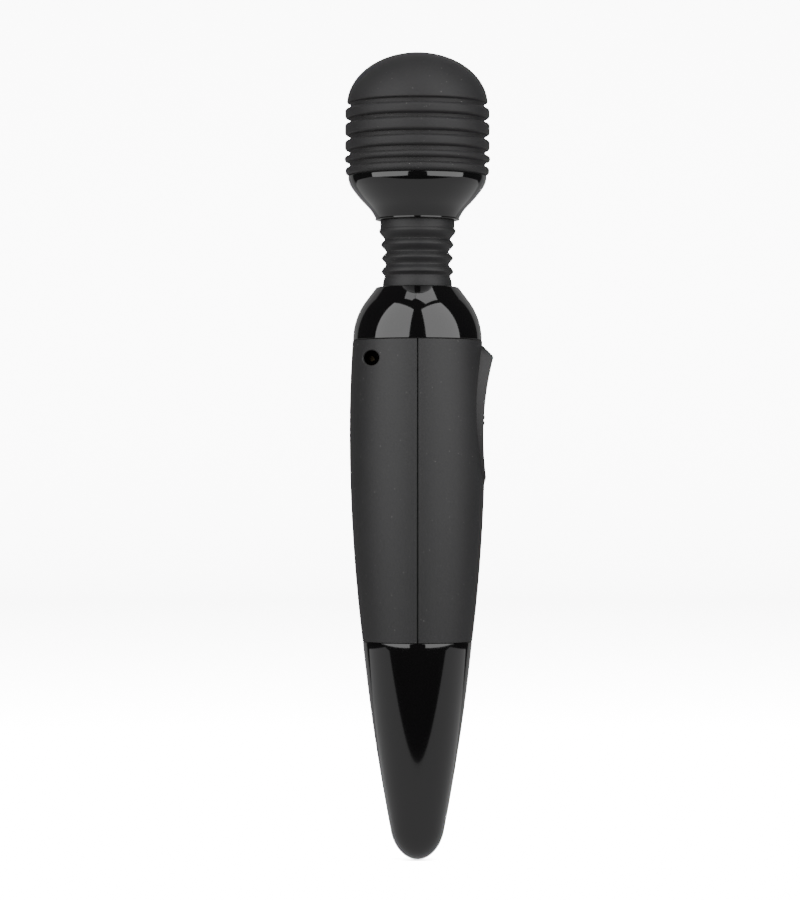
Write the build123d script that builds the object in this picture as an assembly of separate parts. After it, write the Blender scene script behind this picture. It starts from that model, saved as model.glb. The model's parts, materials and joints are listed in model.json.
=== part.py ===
"""Cordless wand massager: gloss cup and ribbed head on a sprung neck, two-shell handle, tail cap.

Millimetres. Z runs up the wand, X points to the front (the rocker side), and the shells meet at X = 0.
The origin is on the axis, where the hand holds the handle.
"""
from build123d import *
import os
from math import asin, atan2, cos, degrees, radians, sin, sqrt, tan

# ---- overall lengths, stacked from the tip of the tail ----
grip_above_tip = 145.0
tail_length = 85.1
handle_length = 117.2
shoulder_height = 21.0
neck_length = 26.1
cup_height = 17.2
cap_height = 48.5

tip_z = -grip_above_tip
tail_top = tip_z + tail_length
handle_top = tail_top + handle_length
shoulder_top = handle_top + shoulder_height
cup_base = shoulder_top + neck_length
cup_top = cup_base + cup_height
head_top = cup_top + cap_height
neck_centre = (shoulder_top + cup_base) / 2

# ---- outer shape ----
tip_width, tip_depth, tip_joint = 10.5, 14.8, 11.0     # rounded tip: half ellipse and where it ends
tail_top_radius, tail_bow = 21.4, 1370.0
belly_radius, belly_above_tail = 26.5, 82.4
belly_bow_below, belly_bow_above = 671.0, 516.0
shoulder_base_radius, shoulder_bow = 25.2, 26.0
shoulder_bend_radius, shoulder_bend_drop = 19.8, 5.0
shoulder_lip_radius = 16.0
cup_lip_radius, cup_lip_height = 16.3, 0.8
cup_waist = (17.35, 3.0), (19.4, 5.6)                  # radius and height above the cup's base
cup_rim_radius = 27.1
cap_inner_radius, cap_thickness = 24.9, 3.3
groove_radius = 26.3
dome_width, dome_height = 27.6, 20.7
rib_corner = 0.95
cap_ribs = (                                           # low edge, high edge, radius, from the cap's lip
    (0.0, 3.4, 28.1),
    (5.3, 7.8, 28.5),
    (9.8, 13.9, 28.3),
    (15.7, 20.6, 28.3),
    (22.3, 26.4, 28.25),
)

# ---- walls and clearances ----
wall = 2.4
fit_gap = 0.15            # between pieces that slot together by hand
seam_gap = 0.5            # visible line between the two shells
joint_line = 0.15         # visible line between the shells and the gloss pieces
slip = 0.08               # radial clearance of a pin or shaft that turns
spigot_wall = 1.8
spigot_length = 4.0
lip_reach = 1.5           # tongue of the rear shell into the front shell
lip_thickness = 1.0

# ---- neck ----
sleeve_radius, sleeve_bore = 11.5, 9.8
flange_radius, flange_thickness = 13.4, 2.2
neck_hole = sleeve_radius + 0.1
shoulder_plate = 2.9
spring_radius, spring_wire, spring_turns = 7.6, 0.9, 10
spring_pocket = spring_radius + spring_wire + 0.2
spring_seat_depth = 9.9
lead_bore = 4.5
lead_radius, lead_spread, lead_x = 0.75, 1.6, -2.2
guide_length, guide_wall = 9.0, 2.0
guide_bore = 3.9
neck_collars = ((0.1, 3.7, 13.3), (22.7, 26.0, 14.6))                       # low, high, radius
neck_ribs = ((5.9, 14.1, 1.3), (11.3, 13.95, 1.3), (16.5, 14.2, 1.3), (21.3, 14.75, 1.5))   # centre, radius, half width
neck_groove_radius = 12.2

# ---- rocker ----
pivot_x, pivot_above_tail = 18.5, 88.5
rocker_reach, rocker_half_width, rocker_end_radius = 28.0, 13.4, 8.5     # measured from the pivot
rocker_gap = 0.35
rocker_wall = 1.8
rocker_swing = 7.9
face_high, face_middle, face_low = (11.05, 21.9), (7.3, -1.2), (8.25, -24.6)
slope_foot, low_corner = (6.7, 27.1), (7.75, -26.9)
face_ridges = (-1.2, -3.5)                             # heights of the two finger ridges from the pivot
ridge_radius, ridge_rise = 1.3, 0.4
rocker_pin_radius = 1.25
well_wall, well_floor_thickness = 1.5, 1.3
well_floor_drop = 4.6
skirt_drop = 0.6
lug_radius = 2.9

# ---- charge socket ----
socket_x, socket_drop = -17.7, 7.2                     # centre, below the top of the handle
socket_radius, socket_rim = 2.9, 0.5
socket_boss_wall, socket_boss_end = 1.9, -8.2
jack_length, jack_half, jack_back = 11.5, 3.7, 2.0      # depth of the socket block, half its width, its back wall
jack_cavity_radius = 3.1                               # the side contact takes up the play round the plug
jack_pin_radius, jack_pin_setback = 1.05, 1.2

# ---- battery, board and switch ----
cell_radius, cell_length, cell_base, cell_gap = 9.2, 65.0, 30.0, 1.5
battery_bore = cell_radius + 0.3
battery_outer = battery_bore + 1.0
board_thickness, board_half_width, board_height = 1.6, 14.0, 31.5
board_x = 0.6
board_drop = 6.9
switch_half = (6.3, 10.5)
contact_x = 6.2
contact_tilt = 6.0
plunger_radius, plunger_tip = 1.6, 7.5

# ---- motor ----
motor_radius, motor_length, motor_above_cup = 13.85, 32.0, 14.6
motor_wall = 1.1
shaft_radius = 1.15
armature_radius = 8.6
weight_radius, weight_height = 9.0, 6.0
dome_wall = 2.0

pivot_z = tail_top + pivot_above_tail
socket_z = handle_top - socket_drop
belly_z = tail_top + belly_above_tail
motor_base = cup_base + motor_above_cup
motor_top = motor_base + motor_length


# ---- shapes used by many pieces ----
def rod_z(radius, low, high, x=0.0, y=0.0):
    return Pos(x, y, (low + high) / 2) * Cylinder(radius, high - low)


def rod_x(radius, low, high, y=0.0, z=0.0):
    return Pos((low + high) / 2, y, z) * Rot(0, 90, 0) * Cylinder(radius, high - low)


def rod_y(radius, low, high, x=0.0, z=0.0):
    return Pos(x, (low + high) / 2, z) * Rot(90, 0, 0) * Cylinder(radius, high - low)


def tube(bore, radius, low, high):
    return rod_z(radius, low, high) - rod_z(bore, low, high)


def block(x0, x1, y0, y1, z0, z1):
    return Pos((x0 + x1) / 2, (y0 + y1) / 2, (z0 + z1) / 2) * Box(x1 - x0, y1 - y0, z1 - z0)


def turned(*edges):
    """Revolve a closed outline, given as edges of (radius, height), about the wand's axis."""
    return revolve(Plane.XZ * make_face(Wire(list(edges))), Axis.Z)


def line(*points):
    return [Line(a, b) for a, b in zip(points, points[1:])]


def bowed(start, end, bow):
    """Arc of the given radius that swells away from the axis; start is below end."""
    (r0, z0), (r1, z1) = start, end
    chord = sqrt((r1 - r0) ** 2 + (z1 - z0) ** 2)
    rise = bow - sqrt(bow**2 - chord**2 / 4)
    middle = ((r0 + r1) / 2 + rise * (z1 - z0) / chord, (z0 + z1) / 2 - rise * (r1 - r0) / chord)
    return ThreePointArc(start, middle, end)


def ellipse_arc(centre, width, height, start, end):
    """Smooth curve along an ellipse from angle `start` to angle `end`, in degrees from the radius axis."""
    steps = 8
    angles = [radians(start + (end - start) * step / steps) for step in range(steps + 1)]
    points = [(centre[0] + width * cos(a), centre[1] + height * sin(a)) for a in angles]
    ends = [(-width * sin(a), height * cos(a)) for a in (angles[0], angles[-1])]
    return Spline(*points, tangents=ends)


def around_pivot(shape, angle):
    return Pos(pivot_x, 0, pivot_z) * Rot(0, angle, 0) * Pos(-pivot_x, 0, -pivot_z) * shape


def pan_screw(shank, head, head_height, low, high):
    """A screw standing on Z with its head on top at `high`."""
    return rod_z(shank, low, high) + rod_z(head, high, high + head_height)


# ---- outline of the wand ----
def handle_radius(z):
    bow = belly_bow_above if z > belly_z else belly_bow_below
    return belly_radius - bow + sqrt(bow**2 - (z - belly_z) ** 2)


def handle_arc(low, high, inset):
    middle = (low + high) / 2
    return ThreePointArc(*[(handle_radius(z) - inset, z) for z in (low, middle, high)])


def handle_solid(inset, low=tail_top, high=handle_top):
    """The handle's outer shape, drawn in by `inset`."""
    return turned(
        handle_arc(low, belly_z, inset),
        handle_arc(belly_z, high, inset),
        *line((handle_radius(high) - inset, high), (0, high), (0, low), (handle_radius(low) - inset, low)),
    )


tip_joint_radius = tip_width * sqrt(1 - (1 - tip_joint / tip_depth) ** 2)


def tail_solid(inset):
    """The tail's outer shape, drawn in by `inset` at its sides and its tip."""
    joint = tip_z + tip_joint
    width, depth = tip_width - inset, tip_depth - inset
    tip_angle = degrees(asin((tip_joint - tip_depth) / tip_depth))
    tip_end = (width * cos(radians(tip_angle)), tip_z + tip_depth + depth * sin(radians(tip_angle)))
    tip = ellipse_arc((0, tip_z + tip_depth), width, depth, -90, tip_angle)
    side = bowed((tip_joint_radius - inset, joint), (tail_top_radius - inset, tail_top), tail_bow)
    meet = [] if abs(tip_end[1] - joint) < 1e-6 else [Line(tip_end, (tip_joint_radius - inset, joint))]
    top = line((tail_top_radius - inset, tail_top), (0, tail_top), (0, tip_z + inset))
    return turned(tip, *meet, side, *top)


def shoulder_solid(inset):
    bend = shoulder_top - shoulder_bend_drop
    return turned(
        bowed((shoulder_base_radius - inset, handle_top), (shoulder_bend_radius - inset, bend), shoulder_bow),
        *line(
            (shoulder_bend_radius - inset, bend),
            (shoulder_lip_radius - inset * 0.6, shoulder_top - inset * 0.6),
            (0, shoulder_top - inset * 0.6),
            (0, handle_top),
            (shoulder_base_radius - inset, handle_top),
        ),
    )


def cup_outline(inset):
    """The cup's flared side, from its lip to its rim."""
    start = (cup_lip_radius - inset, cup_base + cup_lip_height)
    (waist_r, waist_h), (flare_r, flare_h) = cup_waist
    concave = ThreePointArc(start, (waist_r - inset, cup_base + waist_h), (flare_r - inset, cup_base + flare_h))
    convex = TangentArc(concave @ 1, (cup_rim_radius - inset, cup_top), tangent=concave % 1)
    return concave, convex


def cup_solid(inset, low):
    concave, convex = cup_outline(inset)
    start = concave @ 0
    rim = convex @ 1
    return turned(
        concave,
        convex,
        *line((rim.X, rim.Y), (0, cup_top), (0, low), (start.X, low), (start.X, start.Y)),
    )


def rocker_form(gap):
    """The space the rocker's walls can sweep: round about the pivot, oval when seen from the front."""
    centre = rocker_reach - rocker_end_radius
    side_radius = (centre**2 + rocker_half_width**2 - rocker_end_radius**2) / (
        2 * (rocker_half_width - rocker_end_radius)
    )
    lean = atan2(centre, side_radius - rocker_half_width)
    side, end = side_radius + gap, rocker_end_radius + gap
    offset = side_radius - rocker_half_width

    def on_side(angle, sign):
        return side * sin(angle), sign * (side * cos(angle) - offset)

    half_width = rocker_half_width + gap
    outline = Wire(
        [
            ThreePointArc((0, half_width), on_side(lean / 2, 1), on_side(lean, 1)),
            ThreePointArc(on_side(lean, 1), (centre + end, 0), on_side(lean, -1)),
            ThreePointArc(on_side(lean, -1), on_side(lean / 2, -1), (0, -half_width)),
            Line((0, -half_width), (0, half_width)),
        ]
    )
    return Pos(pivot_x, 0, pivot_z) * revolve(make_face(outline), Axis.Y)


# ---- handle ----
def handle_shells():
    """Front and rear shells with their seam tongue, rocker well, socket boss and end spigots."""
    outer = handle_solid(0)
    walls = outer - handle_solid(wall, tail_top - 1, handle_top + 1)
    upper_flange = tube(18.6, handle_radius(handle_top) - wall / 2, handle_top - 2.3, handle_top)
    shoulder_bore = shoulder_base_radius - wall - 0.5
    upper_spigot = tube(
        shoulder_bore - fit_gap - spigot_wall, shoulder_bore - fit_gap, handle_top - 1, handle_top + spigot_length
    )
    tail_bore = tail_top_radius - wall - 0.7
    lower_spigot = tube(
        tail_bore - fit_gap - spigot_wall, tail_bore - fit_gap, tail_top - spigot_length - 1, tail_top + 1
    )
    lower_web = tube(tail_bore - spigot_wall, handle_radius(tail_top) - wall / 2, tail_top, tail_top + 2.0)
    body = walls + upper_flange + upper_spigot + lower_spigot + lower_web

    half = 60.0
    low, high = tip_z, shoulder_top
    front_half = block(seam_gap / 2, half, -half, half, low, high)
    rear_half = block(-half, -seam_gap / 2, -half, half, low, high)
    tongue_low, tongue_high = tail_top + 2.0, handle_top - 2.3
    tongue = handle_solid(wall - lip_thickness, tongue_low, tongue_high)
    tongue -= handle_solid(wall, tail_top - 1, handle_top + 1)
    tongue &= block(-seam_gap, lip_reach, -half, half, low, high)
    groove = handle_solid(wall - lip_thickness - 0.1, tail_top, handle_top)
    groove -= handle_solid(wall + 1, tail_top - 1, handle_top + 1)
    groove &= block(-seam_gap, lip_reach + 0.15, -half, half, tongue_low - 0.2, tongue_high + 0.2)
    rear = (body & rear_half) + tongue
    front = (body & front_half) - groove

    # the front shell's rocker well
    floor_x = pivot_x - well_floor_drop
    well = handle_solid(wall / 2) & rocker_form(rocker_gap + well_wall)
    well &= block(floor_x, half, -half, half, low, handle_top)
    hollow = rocker_form(rocker_gap) & block(floor_x + well_floor_thickness, half, -half, half, low, high)
    slot = block(floor_x - 1, floor_x + 3, -2.6, 2.6, pivot_z - 4.2, pivot_z + 4.2)
    pin_seat = rod_y(rocker_pin_radius, -rocker_half_width - 1.4, rocker_half_width + 1.4, pivot_x, pivot_z)
    for y, z in board_screw_places():
        well += rod_x(2.2, board_x + board_thickness, floor_x + 0.5, y, z)
        well -= rod_x(0.9, board_x, board_x + board_thickness + 6.0, y, z)
    front = front + well - hollow - slot - pin_seat

    # the rear shell's boss round the charge socket
    boss = rod_y(socket_radius + socket_boss_wall, -40, socket_boss_end, socket_x, socket_z)
    rear += boss & handle_solid(wall / 2, tail_top, handle_top)
    rear -= rod_y(socket_radius, -40, 0, socket_x, socket_z)
    rim_edges = [e for e in rear.edges() if on_socket_rim(e)]
    rear = fillet(rim_edges, socket_rim)
    return front, rear


def on_socket_rim(edge):
    """True for the edge where the socket's bore leaves the handle's outer face."""
    place = edge.position_at(0.37)
    from_bore = sqrt((place.X - socket_x) ** 2 + (place.Z - socket_z) ** 2)
    from_axis = sqrt(place.X**2 + place.Y**2)
    return abs(from_bore - socket_radius) < 0.01 and abs(from_axis - handle_radius(place.Z)) < 0.01


def tail_cap():
    cap = tail_solid(0) - tail_solid(wall)
    tail_bore = tail_top_radius - wall - 0.7
    cap -= rod_z(tail_bore, tail_top - spigot_length - 1.2, tail_top + 1)
    cap -= tube(tail_bore - 2, 40, tail_top - joint_line, tail_top + 1)
    rest = tube(battery_outer + fit_gap, 16.0, tip_z + 44, tip_z + 46) & tail_solid(wall / 2)
    return cap + rest


def shoulder_collar():
    outer = shoulder_solid(0)
    bore = shoulder_base_radius - wall - 0.5
    inside = shoulder_solid(wall) - block(-40, 40, -40, 40, shoulder_top - shoulder_plate, shoulder_top)
    collar = outer - inside - rod_z(bore, handle_top - 1, handle_top + spigot_length + 0.4)
    collar -= block(-40, 40, -40, 40, handle_top - 1, handle_top + joint_line)
    for x, y in collar_screw_places():
        boss = rod_z(2.4, handle_top + 3.9, shoulder_top - 1.5, x, y) & shoulder_solid(wall / 2)
        collar += boss
        collar -= rod_z(1.0, handle_top + 3, handle_top + 10.5, x, y)
    collar -= rod_z(neck_hole, shoulder_top - 5, shoulder_top + 1)
    return collar - rod_z(flange_radius + fit_gap, shoulder_top - 5.6, shoulder_top - shoulder_plate)


def collar_screw_places():
    reach = 16.6
    return [(reach * cos(radians(a)), reach * sin(radians(a))) for a in (60, 120, 240, 300)]


def neck_base():
    """Carries the spring. Its ears sit under the shells' flange, and screws pull the collar down on them."""
    seat_top = shoulder_top - shoulder_plate - flange_thickness - 0.2
    ears = rod_z(20.8, handle_top - 5.5, handle_top - 2.7) & block(-11, 11, -40, 40, tip_z, head_top)
    core = rod_z(18.3, handle_top - 5.5, handle_top + 1) & block(-11, pivot_x - 5.1, -40, 40, tip_z, head_top)
    core += rod_z(18.3, handle_top + 0.4, handle_top + 3.7)
    core += rod_z(flange_radius, handle_top, seat_top)
    core += ears
    core -= rod_z(spring_pocket, seat_top - spring_seat_depth, seat_top + 1)
    core -= rod_z(lead_bore, tip_z, head_top)
    for x, y in collar_screw_places():
        core -= rod_z(1.4, handle_top - 6, handle_top + 5, x, y)
        core -= rod_z(2.4, handle_top - 6, handle_top - 2.7, x, y)
    return core


def collar_screws():
    upside_down = Pos(0, 0, handle_top - 2.7) * Rot(180, 0, 0)
    screw = pan_screw(1.0, 2.1, 1.8, -12.0, 0.0)
    return Compound([Pos(x, y, 0) * upside_down * screw for x, y in collar_screw_places()])


# ---- rocker and switch ----
def rocker():
    """Drawn at rest, with its lower end pressed in. Its end walls turn about the pivot."""
    def at(point):
        return pivot_x + point[0], pivot_z + point[1]

    underside = (rocker_reach + 3) * tan(radians(rocker_swing / 2))
    outline = make_face(
        Wire(
            [
                ThreePointArc(at(face_high), at(face_middle), at(face_low)),
                *line(
                    at(face_low),
                    at(low_corner),
                    at((low_corner[0] - 1.2, low_corner[1] - 3)),
                    at((-skirt_drop - underside, -rocker_reach - 3)),
                    at((-skirt_drop + underside, rocker_reach + 3)),
                    at((slope_foot[0] - 3.0, slope_foot[1] + 3.0)),
                    at(slope_foot),
                    at((face_high[0] - 0.1, face_high[1] + 0.7)),
                    at(face_high),
                ),
            ]
        )
    )
    prism = extrude(Plane.XZ * outline, 20, both=True)
    cap = rocker_form(0) & prism
    hollow = rocker_form(-rocker_wall) & Pos(pivot_x, 0, pivot_z) * Rot(0, rocker_swing / 2, 0) * Pos(
        5.0 - 15, 0, 0
    ) * Box(30, 40, 80)
    lug = rod_y(lug_radius, -rocker_half_width + 1, rocker_half_width - 1, pivot_x, pivot_z)
    lug += block(pivot_x, pivot_x + 6, -rocker_half_width + 1, rocker_half_width - 1, pivot_z - 2, pivot_z + 2)
    cap = cap - hollow + lug
    for height in face_ridges:
        cap += face_ridge(height)
    cap -= rod_y(rocker_pin_radius + slip, -20, 20, pivot_x, pivot_z)
    return cap - around_pivot(rod_x(plunger_radius, 10, pivot_x - 2.2, 0, pivot_z), rocker_swing / 2)


def face_ridge(height):
    """A low half-round rib across the face, rounded off at both ends."""
    span = face_high[1] - face_low[1]
    dip = (height - (face_high[1] + face_low[1]) / 2) / (span / 2)
    chord = face_low[0] + (face_high[0] - face_low[0]) * (height - face_low[1]) / span
    depth = chord_depth() * (1 - dip**2)
    crest = pivot_x + chord - depth + ridge_rise
    length = 2 * rocker_half_width - 8
    bar = rod_y(ridge_radius, -length / 2, length / 2, crest - ridge_radius, pivot_z + height)
    for end in (-1, 1):
        bar += Pos(crest - ridge_radius, end * length / 2, pivot_z + height) * Sphere(ridge_radius)
    return bar


def chord_depth():
    """How deep the face is hollowed below the line between its two crests, at the middle."""
    span = face_high[1] - face_low[1]
    along = (face_middle[1] - face_low[1]) / span
    chord = face_low[0] + (face_high[0] - face_low[0]) * along
    return (chord - face_middle[0]) / (1 - (2 * along - 1) ** 2)


def rocker_pin():
    return rod_y(rocker_pin_radius, -rocker_half_width - 1.4, rocker_half_width + 1.4, pivot_x, pivot_z)


def switch_plunger():
    body = rod_x(plunger_radius, plunger_tip + 1.2, pivot_x - 2.2, 0, pivot_z)
    tip = Pos(plunger_tip + 1.2, 0, pivot_z) * Sphere(1.2)
    return around_pivot(body + tip, rocker_swing / 2)


def switch_body():
    """Open-topped case on the board, with a slot for the plunger in its lid."""
    half_y, half_z = switch_half
    low, high = board_x + board_thickness, pivot_x - well_floor_drop - 0.3
    case = block(low, high, -half_y, half_y, pivot_z - half_z, pivot_z + half_z)
    case -= block(low + 1.2, high - 1.0, 1 - half_y, half_y - 1, pivot_z - half_z + 1, pivot_z + half_z - 1)
    case -= block(high - 2, high + 1, -2.2, 2.2, pivot_z - 3.6, pivot_z + 3.6)
    for shift in (-6.0, 0.0, 6.0):
        case -= block(low - 1, low + 2, -1.6, 1.6, pivot_z + shift - 0.5, pivot_z + shift + 0.5)
    return case


def switch_contact():
    """Brass see-saw under the plunger, at rest on its upper contact."""
    blade = block(contact_x - 0.3, contact_x + 0.3, -2.5, 2.5, -7.0, 7.0)
    blade += rod_y(0.9, -2.5, 2.5, contact_x, 0.0)
    turned_blade = Pos(contact_x, 0, pivot_z) * Rot(0, -contact_tilt, 0) * Pos(-contact_x, 0, 0) * blade
    return turned_blade


def switch_terminals():
    low = board_x - 2.4
    floor = board_x + board_thickness + 1.2
    solids = []
    for shift, top in ((-6.0, contact_x - 1.15), (0.0, contact_x), (6.0, contact_x - 1.15)):
        centre = pivot_z + shift
        leg = block(low, floor, -1.5, 1.5, centre - 0.4, centre + 0.4)
        pad = block(floor, top, -1.5, 1.5, centre - 1.5, centre + 1.5)
        solids.append(leg + pad)
    cradle = rod_y(0.9 + slip, -3, 3, contact_x, pivot_z) + block(
        contact_x - 0.75, contact_x + 1, -3, 3, pivot_z - 2, pivot_z + 2
    )
    solids[1] = solids[1] - cradle
    return Compound(solids)


# ---- battery, board and charge socket ----
def battery_cell(base):
    cell = rod_z(cell_radius, base, base + cell_length - 1.2)
    return cell + rod_z(3.0, base + cell_length - 1.2, base + cell_length)


def lower_cell_base():
    return tip_z + cell_base


def upper_cell_base():
    return lower_cell_base() + cell_length + cell_gap


def battery_sleeve():
    """Tube round the cells, centred in the tail by a collar and in the handle by two wings."""
    low = lower_cell_base() - 1.6
    top = upper_cell_base() + cell_length - 3.0
    sleeve = tube(battery_bore, battery_outer, low, top) + tube(6.0, battery_outer, low, low + 1.2)
    spigot_bore = tail_top_radius - wall - 0.7 - fit_gap - spigot_wall
    collar = tube(battery_bore, spigot_bore - 0.4, tail_top - 4.4, tail_top - 2.8)
    wings = block(-1.5, 1.5, -40, 40, top - 12.0, top - 9.0) - rod_z(battery_bore, tip_z, head_top)
    return sleeve + collar + (wings & handle_solid(wall + 0.3))


def cell_contacts():
    """Nickel discs: one under each end of the stack and one between the cells."""
    heights = (
        (lower_cell_base() - 0.4, lower_cell_base()),
        (lower_cell_base() + cell_length, upper_cell_base()),
        (upper_cell_base() + cell_length, upper_cell_base() + cell_length + 0.4),
    )
    return Compound([rod_z(cell_radius - 1.5, low, high) for low, high in heights])


def board_base():
    return handle_top - board_drop - board_height


def board_screw_places():
    low, high = board_base() + 3.5, handle_top - board_drop - 3.5
    return [(y, z) for y in (-10.5, 10.5) for z in (low, high)]


def control_board():
    board = block(
        board_x, board_x + board_thickness, -board_half_width, board_half_width, board_base(), board_base() + board_height
    )
    for y, z in board_screw_places():
        board -= rod_x(1.3, board_x - 1, board_x + 3, y, z)
    for shift in (-6.0, 0.0, 6.0):
        board -= block(
            board_x - 1, board_x + 3, -1.6, 1.6, pivot_z + shift - 0.5, pivot_z + shift + 0.5
        )
    return board


def board_screws():
    solids = []
    for y, z in board_screw_places():
        solids.append(rod_x(0.9, board_x, board_x + board_thickness + 5.0, y, z) + rod_x(1.9, board_x - 1.4, board_x, y, z))
    return Compound(solids)


def board_parts():
    """Controller, charging chip, coil, capacitor and the two plugs, on the back of the board."""
    face = board_x
    base = board_base()
    pieces = {
        "motor_controller": block(face - 1.4, face, -8.5, -2.5, base + 7.0, base + 13.0),
        "charge_controller": block(face - 1.2, face, 2.0, 6.4, base + 14.0, base + 18.5),
        "filter_capacitor": rod_z(3.1, base + 6.0, base + 17.0, face - 3.1, 9.8),
        "charge_inductor": block(face - 3.0, face, -12.0, -5.6, base + 15.5, base + 22.0),
    }
    plugs = block(face - 5.2, face, -4.0, 4.0, base + 20.5, base + 25.5)
    plugs -= block(face - 4.2, face - 1.0, -3.2, 3.2, base + 23.5, base + 26)
    lower_plug = block(face - 5.0, face, 2.4, 8.2, base + 0.6, base + 4.6)
    pieces["lead_plugs"] = Compound([plugs, lower_plug])
    return pieces


def charge_jack():
    front = socket_boss_end + 0.2
    body = block(
        socket_x - jack_half, socket_x + jack_half, front, front + jack_length, socket_z - jack_half, socket_z + jack_half
    )
    return body - rod_y(jack_cavity_radius, front - 1, front + jack_length - jack_back, socket_x, socket_z)


def jack_centre_pin():
    front = socket_boss_end + 0.2
    return rod_y(jack_pin_radius, front + jack_pin_setback, front + jack_length - jack_back, socket_x, socket_z)


def wire(points, bend):
    """An insulated lead along straight runs joined by tangent arcs."""
    path = FilletPolyline(*points, radius=bend)
    section = Plane(origin=path @ 0, z_dir=path % 0) * Circle(lead_radius)
    return sweep(section, path=path)


def jack_leads():
    """Two leads from the back of the socket down to the board."""
    back = socket_boss_end + 0.2 + jack_length
    leads = []
    for shift in (-1.6, 1.6):
        z = socket_z + shift
        leads.append(wire([(socket_x, back, z), (socket_x, back + 5, z), (board_x - 1.2, back + 5, z - 10)], 2.4))
    return Compound(leads)


def battery_lead():
    """From the top contact up to the lower plug on the board."""
    return rod_z(lead_radius, upper_cell_base() + cell_length + 0.4, board_base() + 0.6, board_x - 2.6, 6.0)


def return_strip():
    """Nickel strip from the lowest contact up the side of the cells, inside their sleeve."""
    low = lower_cell_base()
    top = upper_cell_base() + cell_length + 2.0
    side = block(-40, 0, -2.5, 2.5, low - 0.4, top)
    strip = tube(cell_radius + 0.07, cell_radius + 0.22, low - 0.4, top) & side
    return strip + (tube(cell_radius - 1.5, cell_radius + 0.1, low - 0.4, low) & side)


# ---- neck ----
def neck_bellows():
    low, high = shoulder_top, cup_base
    core = rod_z(neck_groove_radius, low + 0.1, high - 0.1)
    for z0, z1, radius in neck_collars:
        core += rod_z(radius, low + z0, low + z1)
    for centre, radius, half_width in neck_ribs:
        rib = turned(
            ThreePointArc(
                (neck_groove_radius, low + centre - half_width - 0.5),
                (radius, low + centre),
                (neck_groove_radius, low + centre + half_width + 0.5),
            ),
            *line(
                (neck_groove_radius, low + centre + half_width + 0.5),
                (5, low + centre + half_width + 0.5),
                (5, low + centre - half_width - 0.5),
                (neck_groove_radius, low + centre - half_width - 0.5),
            ),
        )
        core += rib
    sleeve = rod_z(sleeve_radius, low - shoulder_plate - flange_thickness, high + 2.6 + flange_thickness + 0.1)
    lower_flange = rod_z(flange_radius, low - shoulder_plate - flange_thickness - 0.1, low - shoulder_plate - 0.1)
    upper_flange = rod_z(flange_radius, high + 2.7, high + 2.7 + flange_thickness)
    return core + sleeve + lower_flange + upper_flange - rod_z(sleeve_bore, tip_z, head_top)


def spring_ends():
    seat = shoulder_top - shoulder_plate - flange_thickness - 0.2 - spring_seat_depth
    return seat + spring_wire + 0.05, anchor_base() + 5.2 - spring_wire - 0.05


def neck_spring():
    low, high = spring_ends()
    path = Pos(0, 0, low) * Helix(pitch=(high - low) / spring_turns, height=high - low, radius=spring_radius)
    section = Plane(origin=path @ 0, z_dir=path % 0) * Circle(spring_wire)
    return sweep(section, path=path, is_frenet=True)


def lead_guide():
    half = guide_length / 2
    return tube(guide_bore, guide_bore + guide_wall, neck_centre - half, neck_centre + half)


def lead_heights():
    """Where the motor leads pass from the handle to the neck and from the neck to the head."""
    return handle_top + 8.0, anchor_base() + 3.0


def motor_leads():
    neck_low, neck_high = lead_heights()
    start = board_base() + 25.5
    lower, middle, upper = [], [], []
    for side in (-1, 1):
        y = side * lead_spread
        lower.append(rod_z(lead_radius, start, neck_low, lead_x, y))
        middle.append(rod_z(lead_radius, neck_low, neck_high, lead_x, y))
        points = [(lead_x, y, neck_high), (lead_x, y, neck_high + 3.2), (lead_x, side * 4.0, motor_base - 1.6)]
        upper.append(wire(points, 1.2))
    return Compound(lower), Compound(middle), Compound(upper)


# ---- head ----
def anchor_base():
    return cup_base + 2.6 + flange_thickness + 0.2


def head_anchor():
    """Holds the upper end of the spring against the cup's floor."""
    low = anchor_base()
    body = rod_z(flange_radius, low, low + 6.6)
    body -= rod_z(spring_pocket, low - 1, low + 5.2)
    return body - rod_z(lead_bore, low, head_top)


def head_cup():
    cup = cup_solid(0, cup_base + 0.4)
    inside = cup_solid(wall, cup_base + 2.6) - block(-40, 40, -40, 40, cup_base, cup_base + 2.6)
    cup += rod_z(cup_lip_radius, cup_base + 0.4, cup_base + 3) - rod_z(neck_hole, cup_base, head_top)
    cup += turned(
        ThreePointArc((16.0, cup_base), (cup_lip_radius + 0.25, cup_base + 0.4), (16.0, cup_base + 0.8)),
        *line((16.0, cup_base + 0.8), (neck_hole, cup_base + 0.8), (neck_hole, cup_base), (16.0, cup_base)),
    )
    spigot_outer = cap_inner_radius - dome_wall - 0.1
    spigot = tube(spigot_outer - 1.5, spigot_outer, cup_top - 1.5, cup_top + 3.4)
    rim = tube(spigot_outer - 1.5, cup_rim_radius - 1.5, cup_top - 3.0, cup_top - 0.2)
    cup = cup - inside + spigot + rim - rod_z(neck_hole, cup_base - 1, cup_base + 4)
    for x, y in bracket_screw_places():
        post = rod_z(2.4, cup_base + 5, motor_base, x, y) & cup_solid(wall / 2, cup_base + 1)
        cup += post
        cup -= rod_z(1.0, motor_base - 6.5, motor_base + 1, x, y)
    return cup


def bracket_screw_places():
    reach = 18.9
    return [(reach * cos(radians(a)), reach * sin(radians(a))) for a in (30, 150, 270)]


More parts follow.
